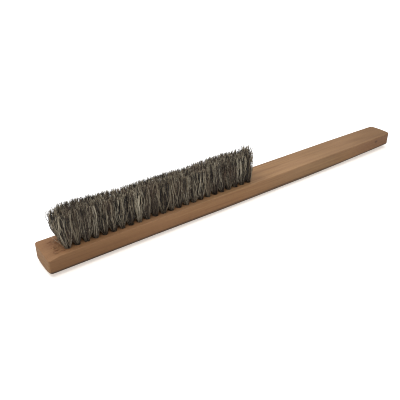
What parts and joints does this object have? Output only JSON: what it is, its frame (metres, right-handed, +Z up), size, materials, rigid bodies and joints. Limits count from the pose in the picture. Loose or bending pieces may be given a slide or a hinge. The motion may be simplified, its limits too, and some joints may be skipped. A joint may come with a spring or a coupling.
{
  "type": "bee brush",
  "caption": "Long flat wooden beekeeping brush: handle and back in one board, rows of short soft horsehair tufts stapled into bored holes along one half.",
  "frame": {"origin": "middle of the brush's box at its lowest point, so the brush lies on its rounded back on the plane Z = 0", "axes": "+X from the head end to the tip of the handle, +Z up out of the flat bristle face along the hair, -Y towards the near row's side"},
  "size_m": [0.442, 0.031, 0.048],
  "materials": {
    "wood": "bare smooth-sanded hardwood, dull, slightly greyed by handling",
    "horsehair": "mixed grey, brown and cream horsehair, crimped, soft sheen",
    "staple_wire": "drawn steel wire"
  },
  "bodies": {
    "stock": {"stock": "wood", "near_row_roots_01_to_06": "horsehair", "near_row_roots_07_to_12": "horsehair", "near_row_roots_13_to_18": "horsehair", "near_row_roots_19_to_24": "horsehair", "near_row_staples": "staple_wire", "middle_row_roots_01_to_06": "horsehair", "middle_row_roots_07_to_12": "horsehair", "middle_row_roots_13_to_18": "horsehair", "middle_row_roots_19_to_24": "horsehair", "middle_row_staples": "staple_wire", "far_row_roots_01_to_06": "horsehair", "far_row_roots_07_to_12": "horsehair", "far_row_roots_13_to_18": "horsehair", "far_row_roots_19_to_24": "horsehair", "far_row_staples": "staple_wire"},
    "near_row": {"near_row_tufts_01_to_06": "horsehair", "near_row_tufts_07_to_12": "horsehair", "near_row_tufts_13_to_18": "horsehair", "near_row_tufts_19_to_24": "horsehair"},
    "middle_row": {"middle_row_tufts_01_to_06": "horsehair", "middle_row_tufts_07_to_12": "horsehair", "middle_row_tufts_13_to_18": "horsehair", "middle_row_tufts_19_to_24": "horsehair"},
    "far_row": {"far_row_tufts_01_to_06": "horsehair", "far_row_tufts_07_to_12": "horsehair", "far_row_tufts_13_to_18": "horsehair", "far_row_tufts_19_to_24": "horsehair"}
  },
  "joints": [
    {"name": "middle_row_bend", "type": "hinge", "parent": "stock", "child": "middle_row", "pos_m": [-0.10275, 0, 0.019], "axis": [1, 0, 0], "range_deg": [-25, 25], "stiffness_Nm_per_rad": 0.05},
    {"name": "near_row_bend", "type": "hinge", "parent": "stock", "child": "near_row", "pos_m": [-0.10275, -0.0075, 0.019], "axis": [1, 0, 0], "range_deg": [-25, 25], "stiffness_Nm_per_rad": 0.05},
    {"name": "far_row_bend", "type": "hinge", "parent": "stock", "child": "far_row", "pos_m": [-0.10275, 0.0075, 0.019], "axis": [1, 0, 0], "range_deg": [-25, 25], "stiffness_Nm_per_rad": 0.05}
  ],
  "couplings": [
    {"joint": "near_row_bend", "follows": "middle_row_bend", "ratio": 1},
    {"joint": "far_row_bend", "follows": "middle_row_bend", "ratio": 1}
  ]
}
